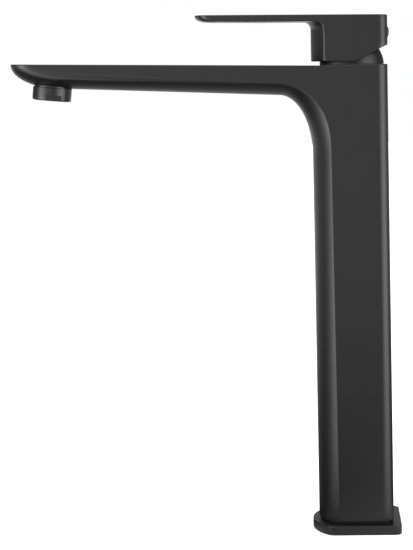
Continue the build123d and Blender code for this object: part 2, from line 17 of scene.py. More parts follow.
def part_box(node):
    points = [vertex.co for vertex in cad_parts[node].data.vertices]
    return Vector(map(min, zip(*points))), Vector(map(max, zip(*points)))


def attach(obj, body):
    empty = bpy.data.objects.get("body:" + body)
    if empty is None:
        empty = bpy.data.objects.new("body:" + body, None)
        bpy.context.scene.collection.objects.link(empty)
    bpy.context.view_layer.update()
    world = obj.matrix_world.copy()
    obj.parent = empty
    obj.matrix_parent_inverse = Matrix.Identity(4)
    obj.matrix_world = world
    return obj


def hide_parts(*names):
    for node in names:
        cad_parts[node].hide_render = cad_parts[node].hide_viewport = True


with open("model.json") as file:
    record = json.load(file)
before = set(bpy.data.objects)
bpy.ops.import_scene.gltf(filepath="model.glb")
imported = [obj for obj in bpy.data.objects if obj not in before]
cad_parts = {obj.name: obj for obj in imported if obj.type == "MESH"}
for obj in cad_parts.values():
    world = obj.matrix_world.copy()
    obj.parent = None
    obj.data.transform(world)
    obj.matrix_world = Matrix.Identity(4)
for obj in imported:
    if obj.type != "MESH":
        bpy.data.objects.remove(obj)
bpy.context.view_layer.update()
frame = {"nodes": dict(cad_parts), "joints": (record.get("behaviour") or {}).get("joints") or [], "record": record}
nodes = frame["nodes"]
MM = 0.001

# ---------------------------------------------------------------- places taken from the frame
tube_low, tube_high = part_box("column_tube")
head_low, head_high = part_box("head_casting")
plate_low, plate_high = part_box("base_plate")
lever_low, lever_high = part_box("lever")
cap_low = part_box("dome_cap")[0]
washer_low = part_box("cap_washer")[0]
plug_low, plug_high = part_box("index_plug")
pivot_z = frame["joints"][0]["pos_m"][2]

half_width = tube_high.x
column_rear = tube_high.y
column_foot = tube_low.z
land_z = washer_low.z
tip_y = head_low.y
tip_z = head_high.z

# ---------------------------------------------------------------- sizes of the outer forms
column_front = 25.5 * MM  # axis to the crown of the bowed front
rear_radius = 7 * MM
edge_radius = 0.6 * MM
foot_edge = 0.4 * MM
bow_foot = 13.0 * MM  # depth of the bow at the foot, the shoulder, the elbow and the spout
bow_shoulder = 11.5 * MM
bow_elbow = 12.2 * MM
bow_spout = 7.0 * MM
crease_column = 1.3 * MM  # radius between the bow and the flat side
crease_spout = 2.6 * MM
crease_nose = 6 * MM
elbow_reach = 20.3 * MM
elbow_drop = 38.6 * MM
root_depth = 18.8 * MM
land_lift = 0.7 * MM  # the spout's root depth is taken from this far above the land
slope = radians(3)
land_edge = -21.4 * MM
nose_length = 28 * MM
nose_bow = 6.5 * MM
nose_corner = 14 * MM
handle = 0.5523  # handle length of a Bezier quarter round

elbow_y = -column_front - elbow_reach
underside_z = land_z + land_lift - root_depth
shoulder_z = underside_z - elbow_drop


# ---------------------------------------------------------------- mesh helpers
def smooth_step(value):
    """Ramp from 0 to 1 with level ends."""
    value = np.clip(value, 0, 1)
    return value * value * (3 - 2 * value)


def eased(count):
    """Values from 0 to 1, packed towards both ends: (1 - cos(pi u)) / 2."""
    return (1 - np.cos(np.linspace(0, pi, count))) / 2


def edge_inset(depth, radius):
    """How far a rounded edge stands in at a depth under the face: r - sqrt(r^2 - (r - depth)^2)."""
    reach = np.clip(radius - depth, 0, radius)
    return radius - np.sqrt(radius**2 - reach**2)


def bow_parts(half, bow, corner):
    """Bow radius R, corner centre and turn where the corner starts, for an arc of that depth
    across the half width, with a corner radius into the straight side."""
    radius = (half**2 + bow**2) / (2 * bow)
    centre_x = half - corner
    centre_d = radius - np.sqrt((radius - corner) ** 2 - centre_x**2)
    return radius, centre_x, centre_d, np.arcsin(centre_x / (radius - corner))


def bow_line(half, bow, corner, count):
    """Half of a bowed front from crown to side, by its normal's turn a: the centre of the bow
    or of the corner, plus its radius times (sin a, -cos a). Gives x and depth."""
    radius, centre_x, centre_d, start = bow_parts(half, bow, corner)
    wide = np.linspace(0, start, count - count // 3, endpoint=False)
    tight = start + (pi / 2 - start) * np.linspace(0, 1, count // 3)
    x = np.concatenate([radius * np.sin(wide), centre_x + corner * np.sin(tight)])
    depth = np.concatenate([radius - radius * np.cos(wide), centre_d - corner * np.cos(tight)])
    return x, depth


def setback(x, half, bow, corner, inset=0.0):
    """Depth of the same bowed front at a given x, for an outline standing in by the inset."""
    radius, centre_x, centre_d, start = bow_parts(half, bow, corner)
    x = np.minimum(x, half - inset)
    wide = radius - np.sqrt(np.maximum((radius - inset) ** 2 - x**2, 0))
    tight = centre_d - np.sqrt(np.maximum((corner - inset) ** 2 - (x - centre_x) ** 2, 0))
    return np.where(x < (radius - inset) * np.sin(start), wide, tight)


def mesh_piece(name, points, faces, body, replaced, sharp=35):
    """Object from points and faces: doubles merged, smooth but for edges over an angle."""
    mesh = bpy.data.meshes.new(name)
    mesh.from_pydata(points.tolist(), [], faces)
    work = bmesh.new()
    work.from_mesh(mesh)
    bmesh.ops.remove_doubles(work, verts=work.verts, dist=2e-6)
    bmesh.ops.dissolve_degenerate(work, edges=work.edges, dist=1e-6)
    bmesh.ops.recalc_face_normals(work, faces=work.faces)
    work.to_mesh(mesh)
    work.free()
    piece = bpy.data.objects.new(name, mesh)
    bpy.context.scene.collection.objects.link(piece)
    shade(piece, sharp)
    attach(piece, body)
    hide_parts(*replaced)
    return piece


def shade(piece, sharp):
    """Smooth faces, with edges over the angle left sharp."""
    piece.data.polygons.foreach_set("use_smooth", [True] * len(piece.data.polygons))
    piece.data.set_sharp_from_angle(angle=radians(sharp))


def grid_faces(rows, columns, wrap_rows=False):
    """Quads of a grid whose columns run round and close, and whose rows may close too."""
    row, column = np.meshgrid(
        np.arange(rows if wrap_rows else rows - 1), np.arange(columns), indexing="ij"
    )
    after_row, after_column = (row + 1) % rows, (column + 1) % columns
    quads = np.stack(
        [
            row * columns + column,
            row * columns + after_column,
            after_row * columns + after_column,
            after_row * columns + column,
        ],
        axis=-1,
    )
    return quads.reshape(-1, 4).tolist()


def mirrored_rings(half_rings):
    """Closed rings from half sections with x >= 0, whose first and last points lie on X = 0."""
    other = half_rings[:, -2:0:-1] * np.array([-1, 1, 1])
    return np.concatenate([half_rings, other], axis=1)


def lofted(name, half_rings, body, replaced, sharp=35, capped=(True, True)):
    """Loft through mirrored half sections. An end that isn't capped has shrunk to a line, whose
    two sides meet point by point."""
    rings = mirrored_rings(half_rings)
    rows, columns = rings.shape[:2]
    faces = grid_faces(rows, columns)
    if capped[0]:
        faces.append(list(range(columns)))
    if capped[1]:
        faces.append(list(range((rows - 1) * columns, rows * columns)))
    return mesh_piece(name, rings.reshape(-1, 3), faces, body, replaced, sharp)


def turned(name, profile, place, body, replaced, count=96, shape=None, sharp=35):
    """Closed profile of (radius, height) turned about an axis; place is a matrix that sets the
    axis, and shape may change the radius by the turn."""
    turn = np.arange(count) * 2 * pi / count
    radius = np.repeat(profile[:, 0:1], count, axis=1)
    height = np.repeat(profile[:, 1:2], count, axis=1)
    if shape is not None:
        radius = shape(radius, height, turn[None, :])
    local = np.stack([radius * np.cos(turn), radius * np.sin(turn), height], axis=-1)
    matrix = np.array(place)
    points = local.reshape(-1, 3) @ matrix[:3, :3].T + matrix[:3, 3]
    faces = grid_faces(len(profile), count, wrap_rows=True)
    return mesh_piece(name, points, faces, body, replaced, sharp)


def cut_away(piece, cutter):
    """Take the cutter's shape out of a piece, and delete the cutter."""
    modifier = piece.modifiers.new("cut", "BOOLEAN")
    modifier.operation = "DIFFERENCE"
    modifier.solver = "EXACT"
    modifier.object = cutter
    bpy.context.view_layer.update()
    result = bpy.data.meshes.new_from_object(
        piece.evaluated_get(bpy.context.evaluated_depsgraph_get())
    )
    piece.modifiers.clear()
    piece.data = result
    bpy.data.objects.remove(cutter)


# ---------------------------------------------------------------- body: column, elbow and spout
def spout_top(y):
    """Height of the top: level land, then a straight rise to the tip."""
    return land_z + (tip_z - land_z) * np.clip((land_edge - y) / (land_edge - tip_y), 0, None)


def underside(y):
    """Height of the spout's underside at its crown."""
    return underside_z + (elbow_y - y) * tan(slope)


def plan_half(y, depth):
    """Half width of the body at y, a depth under its top, with round rear corners."""
    inset = edge_inset(depth, edge_radius)
    into_corner = np.maximum(y - (column_rear - rear_radius), 0)
    return (half_width - rear_radius) + np.sqrt(
        np.maximum((rear_radius - inset) ** 2 - into_corner**2, 0)
    )


def elbow_stations(spacing):
    """Pairs of inner and outer points round the elbow. The inner ones lie on the Bezier between
    column and spout, and the outer ones where its normals meet the back or the top."""
    t = np.linspace(0, 1, 500)[:, None]
    start = np.array([-column_front, shoulder_z])
    end = np.array([elbow_y, underside_z])
    start_handle = start + np.array([0, handle * elbow_drop])
    end_handle = end + handle * elbow_reach * np.array([cos(slope), -sin(slope)])
    inner = (
        (1 - t) ** 3 * start
        + 3 * t * (1 - t) ** 2 * start_handle
        + 3 * t**2 * (1 - t) * end_handle
        + t**3 * end
    )
    tangent = np.gradient(inner, axis=0)
    normal = np.stack([tangent[:, 1], -tangent[:, 0]], axis=1)
    normal /= np.linalg.norm(normal, axis=1)[:, None]
    # Outer outline: up the back, round its top edge and along the top.
    turn = np.linspace(0, pi / 2, 12)
    corner = np.stack(
        [
            column_rear - edge_radius * (1 - np.cos(turn)),
            land_z - edge_radius * (1 - np.sin(turn)),
        ],
        axis=1,
    )
    back = np.stack(
        [np.full(300, column_rear), np.linspace(shoulder_z, land_z - edge_radius, 300)], axis=1
    )[:-1]
    along = np.linspace(column_rear - edge_radius, elbow_y, 400)[1:]
    outer = np.concatenate([back, corner, np.stack([along, spout_top(along)], axis=1)])
    length = np.concatenate([[0], np.cumsum(np.linalg.norm(np.diff(outer, axis=0), axis=1))])
    away = outer[None, :, :] - inner[:, None, :]
    side = normal[:, None, 0] * away[:, :, 1] - normal[:, None, 1] * away[:, :, 0]
    hit = length[np.argmax(side > 0, axis=1)]
    hit[0] = 0
    hit[-1] = max(hit[-1], hit[-2])
    # Stations are even along the outer outline, and closer round its corner.
    corner_start = length[len(back)]
    corner_end = length[len(back) + len(corner) - 1]
    wanted = np.concatenate(
        [
            np.linspace(spacing, corner_start, 26, endpoint=False),
            np.linspace(corner_start, corner_end, 7, endpoint=False),
            corner_end + (hit[-1] - corner_end) * np.linspace(0, 1, 44) ** 1.3,
        ]
    )
    share = np.interp(wanted, np.maximum.accumulate(hit) + np.arange(500) * 1e-9, t[:, 0])
    inner_points = np.stack([np.interp(share, t[:, 0], inner[:, i]) for i in (0, 1)], axis=1)
    outer_points = np.stack([np.interp(wanted, length, outer[:, i]) for i in (0, 1)], axis=1)
    return share, inner_points, outer_points


front_count = 36
side_count = 56


def body_ring(inner, outer, bow, crease, foot_inset=0.0):
    """Half section between an inner and an outer point: bowed front, flat side, far face."""
    half = half_width - foot_inset
    x, depth = bow_line(half, bow, crease, front_count)
    span = np.linalg.norm(outer - inner)
    reach = np.concatenate([depth, depth[-1] + (span - depth[-1]) * eased(side_count)[1:]])
    yz = inner + (outer - inner) * (reach / span)[:, None]
    back_y, back_z = yz[front_count:, 0], yz[front_count:, 1]
    side_half = plan_half(back_y + foot_inset, spout_top(back_y) - back_z)
    share = x[::-1] / x[-1]
    x = np.concatenate([x, np.minimum(side_half - foot_inset, half)])
    across = x[-1] * share[1:]
    x = np.concatenate([x, across])
    yz = np.concatenate([yz, np.repeat(yz[-1:], front_count - 1, axis=0)])
    return np.column_stack([x, yz])


def spout_ring(station, cover):
    """Half section of the spout. The station is its place along the crown; depths under the top
    shrink by the quarter ellipse of the nose, and cover limits them round the tip's edge."""
    lead = smooth_step((elbow_y - station) / (elbow_y - tip_y - nose_length))
    crease = crease_spout + (crease_nose - crease_spout) * lead**2
    near = np.clip((station - tip_y) / nose_length, 0, 1)
    shrink = np.sqrt(1 - (1 - near) ** 2)
    x, depth = bow_line(half_width, bow_spout, crease, front_count)
    share = x[::-1] / x[-1]
    y = station + lead * setback(x, half_width, nose_bow, nose_corner)
    span = spout_top(y) - underside(y)
    under = span - depth
    rest = under[-1] * (1 - eased(side_count)[1:])
    under = np.concatenate([under, rest])
    x = np.concatenate([x, np.full(side_count - 1, half_width)])
    under = np.where(under > edge_radius, edge_radius + (under - edge_radius) * shrink, under)
    under = np.minimum(under, cover)
    inset = edge_inset(under, edge_radius)
    x = x * (half_width - inset) / half_width
    across = x[-1] * share[1:]
    x = np.concatenate([x, across])
    under = np.concatenate([under, np.zeros(front_count - 1)])
    inset = np.concatenate([inset, np.full(front_count - 1, edge_radius)])
    y = station + lead * setback(x, half_width, nose_bow, nose_corner, inset)
    return np.column_stack([x, y, spout_top(y) - under])


def body_rings():
    """Sections from the foot up the column, round the elbow and out to the spout's tip."""
    rings = []
    for turn in np.linspace(0, pi / 2, 5)[:-1]:
        inset = foot_edge * (1 - sin(turn))
        height = column_foot + foot_edge * (1 - cos(turn))
        inner = np.array([-column_front + inset, height])
        outer = np.array([column_rear - inset, height])
        rings.append(body_ring(inner, outer, bow_foot, crease_column, inset))
    for height in np.linspace(column_foot + foot_edge, shoulder_z, 28):
        rise = (height - column_foot) / (shoulder_z - column_foot)
        bow = bow_foot + (bow_shoulder - bow_foot) * rise
        inner = np.array([-column_front, height])
        outer = np.array([column_rear, height])
        rings.append(body_ring(inner, outer, bow, crease_column))
    share, inner_points, outer_points = elbow_stations(2 * MM)
    deep = 0.3  # share of the elbow in which the bow swells, before it flattens
    for part, inner, outer in zip(share, inner_points, outer_points):
        swell = bow_shoulder + (bow_elbow - bow_shoulder) * smooth_step(part / deep)
        bow = swell + (bow_spout - swell) * smooth_step((part - deep) / (1 - deep))
        crease = crease_column + (crease_spout - crease_column) * part
        rings.append(body_ring(inner, outer, bow, crease))
    nose_start = tip_y + nose_length
    for station in np.linspace(elbow_y - 3 * MM, nose_start, 34, endpoint=False):
        rings.append(spout_ring(station, 1.0))
    for turn in np.linspace(0, pi / 2, 40):
        rings.append(spout_ring(tip_y + nose_length * (1 - sin(turn)), 1.0))
    for turn in np.linspace(0, pi / 2, 7)[1:]:
        rings.append(spout_ring(tip_y, edge_radius * (1 - sin(turn))))
    return np.array(rings)


body = lofted(
    "column_and_spout",
    body_rings(),
    "fixed",
    ["column_tube", "head_casting"],
    capped=(True, False),
)

# ---------------------------------------------------------------- lever
lever_half = lever_high.x
lever_tip = lever_low.y
lever_rear = lever_high.y
lever_slope = radians(1.2)
block_front = 25.6 * MM
block_bow = 8.4 * MM
block_corner = 1.8 * MM
block_rear_radius = 6 * MM
tip_half = 18 * MM
tip_bow = 5 * MM
tip_corner = 7 * MM
tip_round = 7 * MM  # length of the round under the tip
paddle_thickness = 4.3 * MM
paddle_fillet = 5 * MM
lever_edge = 0.7 * MM
lever_under_edge = 0.5 * MM
heel_start = 1.5 * MM
heel_angle = radians(26)
lever_gap = 2 * MM
fillet_step = 0.4 * MM  # how far the top moves on with each section of the fillet under it
wall_step = 0.8 * MM  # of the block's front
foot_step = 0.3 * MM  # and of its lower edge
hollow_radius = 21.2 * MM

lever_top_z = lever_high.z + lever_tip * tan(lever_slope)
block_bottom = land_z + lever_gap


def lever_top(y):
    """Height of the lever's sloping top."""
    return lever_top_z - y * tan(lever_slope)


def lever_side(y):
    """Half width of the lever: straight along the block, then drawn in towards the tip."""
    root = -block_front + block_bow
    end = lever_tip + tip_bow
    return lever_half + (tip_half - lever_half) * np.clip((root - y) / (root - end), 0, 1)


def lever_under(y):
    """Height of the block's underside: nearly level at the front, and rising as the heel."""
    back = y - heel_start
    return block_bottom + np.where(back > 0, back * tan(heel_angle), -back * tan(lever_slope))


across_count = 40
lever_side_count = 26


def lever_ring(low, high, front, rear, tip, under_edge, cover=1.0, below=False):
    """Half section of the lever. low and high are the (y, z) of its lower crown and the y of its
    upper one; front, rear and tip say how far it follows the bow of the block, the round rear
    corners and the bow of the tip; cover limits depths round the edge of the top, and below
    lays the lower line on the block's underside."""
    low_y, low_z = low
    share = np.sin(np.linspace(0, pi / 2, across_count))

    def shifted(crown, part, width, inset):
        x = part * width
        bowed = front * setback(x, lever_half, block_bow, block_corner)
        near_tip = part * (tip_half - inset)
        round_tip = tip * setback(near_tip, tip_half, tip_bow, tip_corner, inset)
        into_corner = np.clip(x - (lever_half - block_rear_radius), 0, None)
        radius = block_rear_radius - inset
        round_rear = block_rear_radius - np.sqrt(np.maximum(radius**2 - into_corner**2, 0))
        return crown + bowed + round_tip - rear * round_rear

    def laid(crown, part, inset):
        width = lever_side(crown) - inset
        y = shifted(crown, part, width, inset)
        width = lever_side(y) - inset
        return part * width, shifted(crown, part, width, inset)

    depth = min(lever_top(low_y) - low_z, cover)
    inset = float(edge_inset(np.array(depth), lever_edge))
    x, y = laid(low_y, share, inset)
    z = np.where(depth < cover, low_z + 0 * x, lever_top(y) - depth)
    if below:
        z = lever_under(y)
    # A round lower edge, where the lower line lies flat.
    drop = edge_inset((lever_side(y) - x), under_edge) if under_edge > 0 else 0 * x
    z = z + drop
    x_side, y_low, z_low = x[-1], y[-1], z[-1]
    top_x, top_y = laid(high, share[::-1], lever_edge)
    up = eased(lever_side_count)[1:]
    y_side = y_low + (top_y[0] - y_low) * up
    z_side = z_low + (lever_top(top_y[0]) - z_low) * up
    side_inset = edge_inset(np.maximum(lever_top(y_side) - z_side, 0), lever_edge)
    x_wall = np.minimum(lever_side(y_side), x_side + 1) - side_inset
    x = np.concatenate([x, x_wall, top_x[1:]])
    y = np.concatenate([y, y_side, top_y[1:]])
    z = np.concatenate([z, z_side, lever_top(top_y[1:])])
    return np.column_stack([x, y, z])


def lever_rings():
    """Sections from the tip along the paddle, down the block's front, under it and up its rear."""
    rings = []
    root = -block_front - paddle_fillet
    # The edge of the top round the tip, then the long round under it.
    for turn in np.linspace(pi / 2, 0, 6, endpoint=False):
        cover = lever_edge * (1 - sin(turn))
        rings.append(lever_ring((lever_tip, lever_top(lever_tip) - 1), lever_tip, 0, 0, 1, 0, cover))
    for turn in np.linspace(0, pi / 2, 12):
        crown = lever_tip + tip_round * (1 - cos(turn))
        thick = lever_edge + (paddle_thickness - lever_edge) * sin(turn)
        rings.append(
            lever_ring((crown, lever_top(crown) - thick), crown, 0, 0, 1, lever_under_edge * sin(turn))
        )
    # The flat paddle.
    for part in np.linspace(0, 1, 16)[1:]:
        crown = lever_tip + tip_round + (root - lever_tip - tip_round) * part
        tip = 1 - smooth_step(2 * part)
        front = smooth_step(2 * part - 1)
        low = (crown, lever_top(crown) - paddle_thickness)
        rings.append(lever_ring(low, crown, front, 0, tip, lever_under_edge))
    # The fillet under the paddle's root, and down the bowed front.
    high = root
    for turn in np.linspace(0, pi / 2, 9)[1:]:
        crown = root + paddle_fillet * sin(turn)
        low = lever_top(crown) - paddle_thickness - paddle_fillet * (1 - cos(turn))
        high += fillet_step
        rings.append(lever_ring((crown, low), high, 1, 0, 0, lever_under_edge * (1 - sin(turn))))
    wall_top = lever_top(-block_front) - paddle_thickness - paddle_fillet
    wall_foot = float(lever_under(-block_front)) + lever_under_edge
    for part in np.linspace(0, 1, 12)[1:]:
        high += wall_step
        low = wall_top + (wall_foot - wall_top) * part
        rings.append(lever_ring((-block_front, low), high, 1, 0, 0, 0))
    for turn in np.linspace(0, pi / 2, 5)[1:]:
        high += foot_step
        crown = -block_front + lever_under_edge * (1 - cos(turn))
        low = wall_foot - lever_under_edge * sin(turn)
        rings.append(lever_ring((crown, low), high, 1, 0, 0, lever_under_edge * sin(turn)))
    # The underside, then the heel.
    start = -block_front + lever_under_edge
    end = lever_rear - lever_under_edge
    high_start = high
    for part in np.linspace(0, 1, 40)[1:]:
        crown = start + (end - start) * part
        high = high_start + (end - 2 * MM - high_start) * part
        front = 1 - smooth_step(2 * part)
        rear = smooth_step(2 * part - 1)
        low = (crown, float(lever_under(crown)))
        rings.append(lever_ring(low, high, front, rear, 0, lever_under_edge, below=True))
    # Up the rear face, and round the edge of the top.
    rear_foot = float(lever_under(end)) + lever_under_edge
    rear_head = lever_top(lever_rear) - lever_edge
    for turn in np.linspace(0, pi / 2, 4)[1:]:
        crown = end + lever_under_edge * sin(turn)
        low = rear_foot - lever_under_edge * cos(turn)
        rings.append(lever_ring((crown, low), high, 0, 1, 0, 0))
    for part in np.linspace(0, 1, 12)[1:]:
        low = rear_foot + (rear_head - rear_foot) * part
        top = high + (lever_rear - lever_edge - high) * part
        rings.append(lever_ring((lever_rear, low), top, 0, 1, 0, 0))
    for turn in np.linspace(0, pi / 2, 6)[1:]:
        crown = lever_rear - lever_edge * (1 - cos(turn))
        low = rear_head + lever_edge * sin(turn)
        rings.append(lever_ring((crown, low), lever_rear - lever_edge, 0, 1, 0, 0))
    rings.append(lever_ring((crown, low), lever_rear - lever_edge, 0, 1, 0, 0, 0.0))
    return np.array(rings)


def ball(radius, centre):
    """Plain sphere that cuts the hollow over the dome cap."""
    work = bmesh.new()
    bmesh.ops.create_uvsphere(work, u_segments=96, v_segments=48, radius=radius)
    bmesh.ops.translate(work, verts=work.verts, vec=centre)
    mesh = bpy.data.meshes.new("hollow")
    work.to_mesh(mesh)
    work.free()
    cutter = bpy.data.objects.new("hollow", mesh)
    bpy.context.scene.collection.objects.link(cutter)
    return cutter


lever = lofted(
    "lever_handle", lever_rings(), "handle", ["lever"], capped=(False, False)
)
cut_away(lever, ball(hollow_radius, (0, 0, pivot_z)))
shade(lever, 35)

# ---------------------------------------------------------------- dome cap
dome_radius = 20.4 * MM
dome_wall = 1.5 * MM
mouth_radius = 15.8 * MM


def arc_profile(radius, start_z, end_radius, count):
    """Points of a sphere's outline from a height up to where it is as narrow as end_radius."""
    low = np.arcsin((start_z - pivot_z) / radius)
    high = np.arccos(end_radius / radius)
    turn = np.linspace(low, high, count)
    return np.column_stack([radius * np.cos(turn), pivot_z + radius * np.sin(turn)])


dome_profile = np.concatenate(
    [
        arc_profile(dome_radius, cap_low.z, mouth_radius, 24),
        arc_profile(dome_radius - dome_wall, cap_low.z, mouth_radius, 24)[::-1],
    ]
)
dome = turned("dome", dome_profile, Matrix.Identity(4), "fixed", ["dome_cap"])

# ---------------------------------------------------------------- base plate
plate_bow = 11 * MM
plate_corner = 7.5 * MM
plate_rear_corner = 4.5 * MM
plate_top_edge = 0.4 * MM
plate_half = plate_high.x


def plate_ring(height, inset):
    """Outline of the plate standing in by an inset: bowed front, side, round rear corner."""
    radius, centre_x, centre_d, start = bow_parts(plate_half, plate_bow, plate_corner)
    wide = np.linspace(0, start, 40, endpoint=False)
    tight = np.linspace(start, pi / 2, 12)
    x = np.concatenate(
        [(radius - inset) * np.sin(wide), centre_x + (plate_corner - inset) * np.sin(tight)]
    )
    y = plate_low.y + np.concatenate(
        [
            radius - (radius - inset) * np.cos(wide),
            centre_d - (plate_corner - inset) * np.cos(tight),
        ]
    )
    turn = np.linspace(0, pi / 2, 12)
    rear_x = plate_half - plate_rear_corner + (plate_rear_corner - inset) * np.cos(turn)
    rear_y = plate_high.y - plate_rear_corner + (plate_rear_corner - inset) * np.sin(turn)
    x = np.concatenate([x, rear_x, [0]])
    y = np.concatenate([y, rear_y, [plate_high.y - inset]])
    return np.column_stack([x, y, np.full(len(x), height)])


def plate_rings():
    """Outlines up the plate's edge, with a small round below and a larger one above."""
    low_edge = 0.3 * MM
    rings = []
    for turn in np.linspace(0, pi / 2, 4):
        rings.append(plate_ring(low_edge * (1 - cos(turn)), low_edge * (1 - sin(turn))))
    for turn in np.linspace(0, pi / 2, 8):
        height = plate_high.z - plate_top_edge * (1 - sin(turn))
        rings.append(plate_ring(height, plate_top_edge * (1 - cos(turn))))
    return np.array(rings)


plate = lofted("foot_plate", plate_rings(), "fixed", ["base_plate"])

# ---------------------------------------------------------------- aerator housing
outlet_reach = 191 * MM
outlet_tilt = radians(6)
skirt_radius = 12.4 * MM
skirt_drop = 7.8 * MM
skirt_lip = 1.0 * MM
lip_radius = 9.6 * MM
bore_radius = 10.6 * MM
neck_inset = 0.8 * MM
neck_height = -0.6 * MM
spanner_half = 11.35 * MM
spanner_turn = radians(14)  # where the thread stops
spanner_height = 3.6 * MM
housing_top = 7.4 * MM

outlet_place = Matrix.Translation(
    (0, -outlet_reach, float(underside(-outlet_reach)))
) @ Matrix.Rotation(-outlet_tilt, 4, "X")


def housing_profile():
    """Section of the housing: neck under the spout, skirt, round rim, lip and bore."""
    turn = np.linspace(0, pi / 2, 7)
    rim = np.column_stack(
        [
            skirt_radius - skirt_lip * (1 - np.cos(turn)),
            -skirt_drop + skirt_lip * (1 - np.sin(turn)),
        ]
    )
    neck = skirt_radius - neck_inset
    outside = [
        (neck, housing_top),
        (neck, -neck_height),
        (skirt_radius - 0.15 * MM, -neck_height - 0.05 * MM),
        (skirt_radius, -neck_height - 0.25 * MM),
        (skirt_radius, -skirt_drop + spanner_height + 0.02 * MM),
        (skirt_radius, -skirt_drop + spanner_height),
    ]
    inside = [
        (lip_radius, -skirt_drop),
        (lip_radius, -skirt_drop + skirt_lip),
        (bore_radius, -skirt_drop + skirt_lip),
        (bore_radius, housing_top),
    ]
    return np.concatenate([outside, rim, inside])


def spanner_flats(radius, height, turn):
    """Radius drawn in to the two flats at the sides, over the lowest part of the skirt."""
    flat = spanner_half / np.maximum(np.abs(np.cos(turn - spanner_turn)), 0.2)
    low = (height <= -skirt_drop + spanner_height + 0.01 * MM) & (radius > lip_radius + 0.1 * MM)
    low &= radius > bore_radius + 0.1 * MM
    return np.where(low, np.minimum(radius, flat), radius)


housing = turned(
    "aerator_skirt",
    housing_profile(),
    outlet_place,
    "fixed",
    ["aerator_housing"],
    count=144,
    shape=spanner_flats,
)

# ---------------------------------------------------------------- index plug
plug_radius = plug_high.x
plug_proud = plug_high.y - lever_rear
rim_width = 0.9 * MM


def plug_profile():
    """Section of the plug: body in its seat, a flat rim just proud, and a shallow dome."""
    rim = 0.45 * MM
    dome_half = plug_radius - rim_width
    dome_turn = np.linspace(pi / 2, 0, 12)[:-1]
    # A quarter ellipse across the dome, from its edge to its crown.
    crown = np.column_stack(
        [dome_half * np.sin(dome_turn), plug_proud - (plug_proud - 0.2 * MM) * (1 - np.cos(dome_turn))]
    )
    depth = plug_low.y - lever_rear
    start = [(1e-5, depth), (plug_radius, depth), (plug_radius, rim - 0.15 * MM)]
    rim_top = [(plug_radius - 0.15 * MM, rim), (dome_half + 0.1 * MM, rim), (dome_half, 0.2 * MM)]
    return np.concatenate([start, rim_top, crown, [(1e-5, plug_proud)]])


plug_place = Matrix.Translation(
    (0, lever_rear, (plug_low.z + plug_high.z) / 2)
) @ Matrix.Rotation(-pi / 2, 4, "X")
plug = turned("plug", plug_profile(), plug_place, "handle", ["index_plug"], count=64)


# ---------------------------------------------------------------- materials
class Value:
    """A shader socket. Arithmetic on it adds Math nodes."""

    def __init__(self, finish, socket):
        self.finish = finish
        self.socket = socket

    def maths(self, operation, first, second):
        return self.finish.add("ShaderNodeMath", {"operation": operation}, {0: first, 1: second})

    def __add__(self, other):
        return self.maths("ADD", self, other)

    def __radd__(self, other):
        return self.maths("ADD", other, self)

    def __sub__(self, other):
        return self.maths("SUBTRACT", self, other)

    def __rsub__(self, other):
        return self.maths("SUBTRACT", other, self)

    def __mul__(self, other):
        return self.maths("MULTIPLY", self, other)

    def __rmul__(self, other):
        return self.maths("MULTIPLY", other, self)


class Finish:
    """One material and its Principled shader."""

    def __init__(self, name, **constants):
        self.material = bpy.data.materials.new(name)
        self.material.use_nodes = True
        self.tree = self.material.node_tree
        self.shader = self.tree.nodes["Principled BSDF"]
        for socket, value in constants.items():
            self.shader.inputs[socket.replace("_", " ")].default_value = value

    def add(self, kind, settings=None, inputs=None, output=0):
        """Any node: its settings first, then the values or links of its sockets."""
        node = self.tree.nodes.new(kind)
        for key, value in (settings or {}).items():
            if key == "stops":
                for stop, (place, colour) in zip(self.ramp_stops(node, len(value)), value):
                    stop.position = place
                    stop.color = colour
            else:
                setattr(node, key, value)
        for key, value in (inputs or {}).items():
            self.feed(node.inputs[key], value)
        return Value(self, node.outputs[output])

    @staticmethod
    def ramp_stops(node, count):
        while len(node.color_ramp.elements) < count:
            node.color_ramp.elements.new(1)
        return node.color_ramp.elements

    def feed(self, socket, value):
        if isinstance(value, Value):
            self.tree.links.new(value.socket, socket)
        else:
            socket.default_value = value

    def set(self, socket, value):
        """Lead a value to one of the shader's sockets."""
        self.feed(self.shader.inputs[socket], value)

    def place(self):
        return self.add("ShaderNodeTexCoord", output="Object")

    def noise(self, scale, detail=2.0, rough=0.5, place=None):
        """Noise whose features are about 1/scale metres across."""
        inputs = {"Scale": scale, "Detail": detail, "Roughness": rough}
        inputs["Vector"] = place or self.place()
        return self.add("ShaderNodeTexNoise", None, inputs)

    def bump(self, height, distance, strength=1.0):
        """Bump of a height from 0 to 1 over a distance in metres."""
        inputs = {"Height": height, "Distance": distance, "Strength": strength}
        self.set("Normal", self.add("ShaderNodeBump", None, inputs))

    def banded(self, aim):
        """Light of the room and its soft boxes, by the bearing of a direction from +X to -Y."""
        along = self.add("ShaderNodeSeparateXYZ", None, {0: aim})
        sideways = Value(self, along.socket.node.outputs[1])
        back = {"operation": "ARCTAN2"}
        bearing = self.add("ShaderNodeMath", back, {0: 0.0 - sideways, 1: along})
        light = room_light
        for centre, half, level in soft_boxes:
            away = self.add("ShaderNodeMath", {"operation": "ABSOLUTE"}, {0: bearing - centre})
            light = light + self.add(
                "ShaderNodeMapRange",
                {"interpolation_type": "SMOOTHERSTEP"},
                {0: away, 1: 0.0, 2: half, 3: level, 4: 0.0},
            )
        return light

    def blend_colours(self, share, first, second):
        mix = {"data_type": "RGBA"}
        return self.add("ShaderNodeMix", mix, {0: share, 6: first, 7: second}, output=2)


